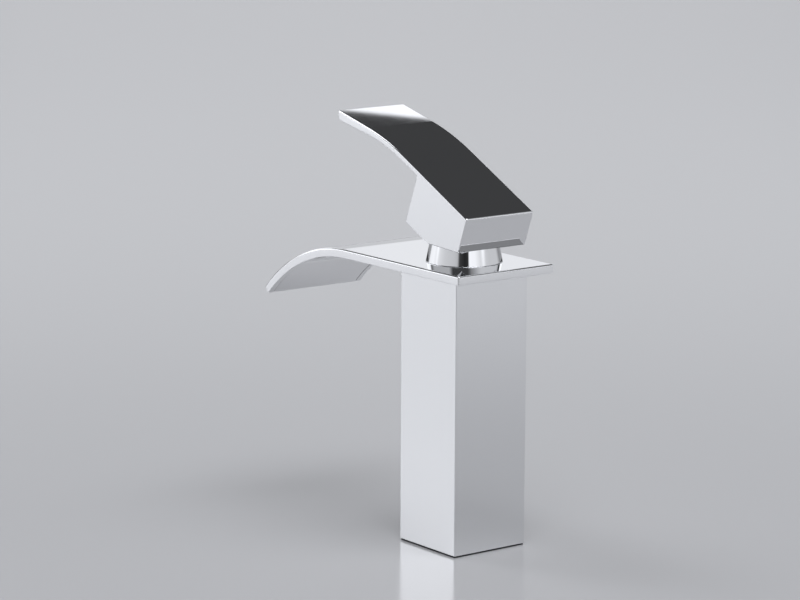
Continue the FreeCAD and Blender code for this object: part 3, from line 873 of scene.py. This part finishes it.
def index_plug():
    """Plug with a rounded rim, flush with the block's front face."""
    mouth, inward = plug_seat()
    radius = PLUG_RECESS_RADIUS - PLUG_CLEARANCE
    plug = slanted_bar("plug", radius, mouth, mouth + inward * PLUG_RECESS_DEPTH)
    at_front = PLUG_RECESS_DEPTH / 2
    round_edges(plug, PLUG_EDGE,
                lambda edge: is_sharp(edge) and (middle_of(edge) - mouth).dot(inward) < at_front)
    keep(plug, "lever", "index_plug")


def threaded_bar(name, radius, low, high):
    """Upright threaded bar on the Z axis: a thread screwed up past both ends, then trimmed to points."""
    spare_turns = 2
    thread = lone_vertex((radius - THREAD_DEPTH, 0, low - spare_turns * THREAD_PITCH))
    for across in (THREAD_DEPTH, -THREAD_DEPTH):
        push((0, 0, THREAD_CREST * THREAD_PITCH))
        push((across, 0, THREAD_FLANK * THREAD_PITCH))
    leave()
    screw = thread.modifiers.new("thread", "SCREW")
    screw.axis = "Z"
    screw.angle = 2 * math.pi
    screw.screw_offset = THREAD_PITCH
    screw.iterations = math.ceil((high - low) / THREAD_PITCH) + 2 * spare_turns
    screw.steps = screw.render_steps = STUD_SIDES
    screw.use_merge_vertices = True
    screw.merge_threshold = WELD
    only(thread)
    bpy.ops.object.modifier_apply(modifier=screw.name)
    edit(thread, "EDGE")
    merge_doubles()
    bpy.ops.mesh.fill_holes(sides=0)
    bpy.ops.mesh.select_all(action="SELECT")
    bpy.ops.mesh.normals_make_consistent(inside=False)
    leave()
    placed(name)
    blank = revolved(name + "_blank", [
        (0, low, 0), (0, high, 0), (radius - STUD_POINT, high, 0), (radius, high - STUD_POINT, 0),
        (radius, low + STUD_POINT, 0), (radius - STUD_POINT, low, 0)], STUD_SIDES)
    return cut(thread, blank, operation="INTERSECT")


def mounting_stud():
    """Threaded stud with pointed ends."""
    low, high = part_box("mounting_stud")
    stud = threaded_bar("stud", high[0], low[2], high[2])
    keep(moved(stud, (0, STUD_Y, 0)), "faucet_body", "mounting_stud")


def stud_nut():
    """Hexagon nut with its corners to the sides, chamfered at both faces."""
    low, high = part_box("stud_nut")
    corner, flat = high[0], (high[1] - low[1]) / 2
    bottom, top = low[2], high[2]
    nut = bar("nut", corner, bottom, top, sides=6)
    edit(nut, "VERT")
    bpy.ops.mesh.select_all(action="SELECT")
    bpy.ops.transform.rotate(value=math.radians(30), orient_axis="Z", center_override=(0, 0, 0))
    leave()
    drop = (corner - flat) * math.tan(NUT_CHAMFER)
    turned = revolved("turned", [
        (THREAD_BORE, bottom, 0), (flat, bottom, 0), (corner, bottom + drop, 0),
        (corner, top - drop, 0), (flat, top, 0), (THREAD_BORE, top, 0)], NUT_SIDES)
    cut(nut, turned, operation="INTERSECT")
    keep(moved(nut, (0, STUD_Y, 0)), "faucet_body", "stud_nut")


def horseshoe_washer(node, edge_radius):
    """Washer with a rounded outer edge, a slot open to the front for the hoses and a hole for the stud."""
    low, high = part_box(node)
    radius, bottom, top = high[0], low[2], high[2]
    washer = revolved(node.replace("horseshoe_", ""), [
        (0, bottom, 0), (radius, bottom, edge_radius), (radius, top, edge_radius), (0, top, 0)])
    under, over = bottom - CUT_OVERRUN, top + CUT_OVERRUN
    half = HOSE_WAY_HALF_SPACING
    side = half + HOSE_WAY_RADIUS
    cutters = [
        cuboid("mouth", (-side, -radius - CUT_OVERRUN, under), (side, INLET_Y, over)),
        cuboid("middle", (-half, INLET_Y - CUT_OVERRUN / 2, under), (half, INLET_Y + HOSE_WAY_RADIUS, over)),
        bar("hole", WASHER_HOLE, under, over, (0, STUD_Y), HOLE_SIDES),
    ]
    cutters += [bar("end", HOSE_WAY_RADIUS, under, over, (x, INLET_Y), HOLE_SIDES) for x in (-half, half)]
    keep(cut(washer, *cutters), "faucet_body", node)


def dress_plain_nodes():
    """Give every CAD node the finish of its slot, for those that no finer piece replaces."""
    for name, node in frame["nodes"].items():
        node.data.materials.clear()
        node.data.materials.append(FINISHES[slot_of(name)])


column_shell()
spout_shell()
spout_bottom_plate()
dome_cover()
handle_lever()
index_plug()
mounting_stud()
stud_nut()
horseshoe_washer("horseshoe_rubber_washer", RUBBER_WASHER_EDGE)
horseshoe_washer("horseshoe_steel_washer", STEEL_WASHER_EDGE)

dress_plain_nodes()


# ---------------------------------------------------------------- floor, light and camera

def draw_floor(sheet):
    """Pale floor with a soft gloss and a faint grain."""
    grain = sheet.noise(sheet.place(), 700.0, 2.0)
    sheet.surface(Base_Color=FLOOR_COLOUR, Roughness=FLOOR_GLOSS + grain * 0.02)


def floor():
    """Wide floor just under the base gasket."""
    bpy.ops.object.select_all(action="DESELECT")
    bpy.ops.mesh.primitive_plane_add(size=1, location=(0, 0, -FLOOR_DROP), rotation=(0, 0, -CAMERA_YAW))
    bpy.context.object.scale = (*FLOOR_SIZE, 1)
    plane = placed("floor")
    plane.data.materials.append(finish("pale_floor", draw_floor))


def window(sheet, value, low, high, soft_low, soft_high):
    """1 between two limits, with soft edges of the given half widths, and 0 outside them."""
    rise = sheet.between(value, low - soft_low, low + soft_low)
    fall = sheet.between(value, high - soft_high, high + soft_high, 1.0, 0.0)
    return rise * fall


def dot(sheet, direction, vector):
    """Share of a direction that goes along a vector."""
    return sheet.node("ShaderNodeVectorMath", {"operation": "DOT_PRODUCT"},
                      {0: direction, 1: tuple(vector)}, output=1)


def heading(azimuth, elevation):
    """Direction at an azimuth from the viewer's side, counted to the picture's right, and an elevation."""
    toward = Vector((math.sin(CAMERA_YAW), math.cos(CAMERA_YAW), 0))
    right = Vector((-math.cos(CAMERA_YAW), math.sin(CAMERA_YAW), 0))
    turn, rise = math.radians(azimuth), math.radians(elevation)
    level = toward * math.cos(turn) + right * math.sin(turn)
    return level * math.cos(rise) + Vector((0, 0, math.sin(rise)))


def draw_world(sheet):
    """Soft studio: low surround, soft panels and lights, panel behind the faucet, dark upper part."""
    direction = sheet.node("ShaderNodeTexCoord", output="Generated")
    toward = dot(sheet, direction, heading(0, 0))
    right = dot(sheet, direction, heading(90, 0))
    height = dot(sheet, direction, (0, 0, 1))
    turn = sheet.node("ShaderNodeMath", {"operation": "ARCTAN2"}, {0: right, 1: toward}) * math.degrees(1)
    rise = sheet.node("ShaderNodeMath", {"operation": "ARCSINE"}, {0: height}) * math.degrees(1)
    stops = [(azimuth / 360 + 0.5, rgb(level, level, level)) for azimuth, level in SURROUND]
    low = sheet.node("ShaderNodeValToRGB", {"stops": stops}, {0: turn / 360.0 + 0.5})
    ring = sheet.node("ShaderNodeRGBToBW", {}, {0: low})
    lowered = window(sheet, turn, *SURROUND_RIGHT) * SURROUND_LOWER_ON_RIGHT
    light = ring * sheet.between(rise + lowered, *SURROUND_TOP, 1.0, 0.0)
    for azimuth, half, side_soft, bottom, top, bottom_soft, top_soft, strength in PANELS:
        away = sheet.node("ShaderNodeMath", {"operation": "WRAP"}, {0: turn - azimuth, 1: 180.0, 2: -180.0})
        across = sheet.between(abs(away), half - side_soft, half + side_soft, 1.0, 0.0)
        light = light + across * window(sheet, rise, bottom, top, bottom_soft, top_soft) * strength
    edge_left, edge_right = heading(*BACK_EDGE[0]), heading(*BACK_EDGE[1])
    above = dot(sheet, direction, edge_left.cross(edge_right).normalized())
    low_level, band_level, upper_level = BACK_LEVELS
    band = sheet.between(rise, *BAND_BOTTOM) * sheet.between(rise, *BAND_TOP, 1.0, 0.0)
    band = band * sheet.between(abs(turn), *BAND_SIDES)
    level = sheet.between(rise, *BACK_UPPER_START, low_level, upper_level) * (1.0 - band) + band * band_level
    behind = sheet.between(abs(turn), *BACK_SIDES) * sheet.between(rise, *BACK_BOTTOM)
    back = sheet.between(above, -BACK_EDGE_SOFT, BACK_EDGE_SOFT, 1.0, 0.0) * behind * level
    light = light * (1.0 - behind) + back
    light = light + sheet.between(rise, *DARK_CEILING_START) * DARK_CEILING
    colour = sheet.node("ShaderNodeVectorMath", {"operation": "SCALE"}, {0: SKY_TINT, 3: light})
    background = sheet.node("ShaderNodeBackground", {}, {"Color": colour, "Strength": 1.0})
    sheet.add("ShaderNodeOutputWorld", {}, {"Surface": background})


def world():
    """Give the scene its studio."""
    studio = bpy.data.worlds.new("studio")
    bpy.context.scene.world = studio
    draw_world(Sheet(studio))


def camera():
    """Camera at the photograph's angle, aimed so that the column's axis falls at AIM_PX."""
    level = Vector((math.sin(CAMERA_YAW), math.cos(CAMERA_YAW), 0))
    forward = -level * math.cos(CAMERA_PITCH) - Vector((0, 0, math.sin(CAMERA_PITCH)))
    right = Vector((-math.cos(CAMERA_YAW), math.sin(CAMERA_YAW), 0))
    right = Matrix.Rotation(-CAMERA_ROLL, 3, forward) @ right
    up = right.cross(forward)
    across = (AIM_PX[0] - PICTURE_WIDTH_PX / 2) / FOCAL_PX * CAMERA_DISTANCE
    down = (AIM_PX[1] - PICTURE_HEIGHT_PX / 2) / FOCAL_PX * CAMERA_DISTANCE
    place = Vector((0, 0, AIM_HEIGHT)) - forward * CAMERA_DISTANCE - right * across + up * down
    data = bpy.data.cameras.new("photo_camera")
    data.sensor_width = SENSOR_WIDTH
    data.lens = FOCAL_PX * SENSOR_WIDTH / PICTURE_WIDTH_PX
    data.clip_start = 0.01
    shot = bpy.data.objects.new("photo_camera", data)
    bpy.context.scene.collection.objects.link(shot)
    shot.matrix_world = Matrix((
        (right.x, up.x, -forward.x, place.x),
        (right.y, up.y, -forward.y, place.y),
        (right.z, up.z, -forward.z, place.z),
        (0, 0, 0, 1)))
    bpy.context.scene.camera = shot


floor()
world()
camera()
bpy.context.scene.view_settings.view_transform = "Standard"
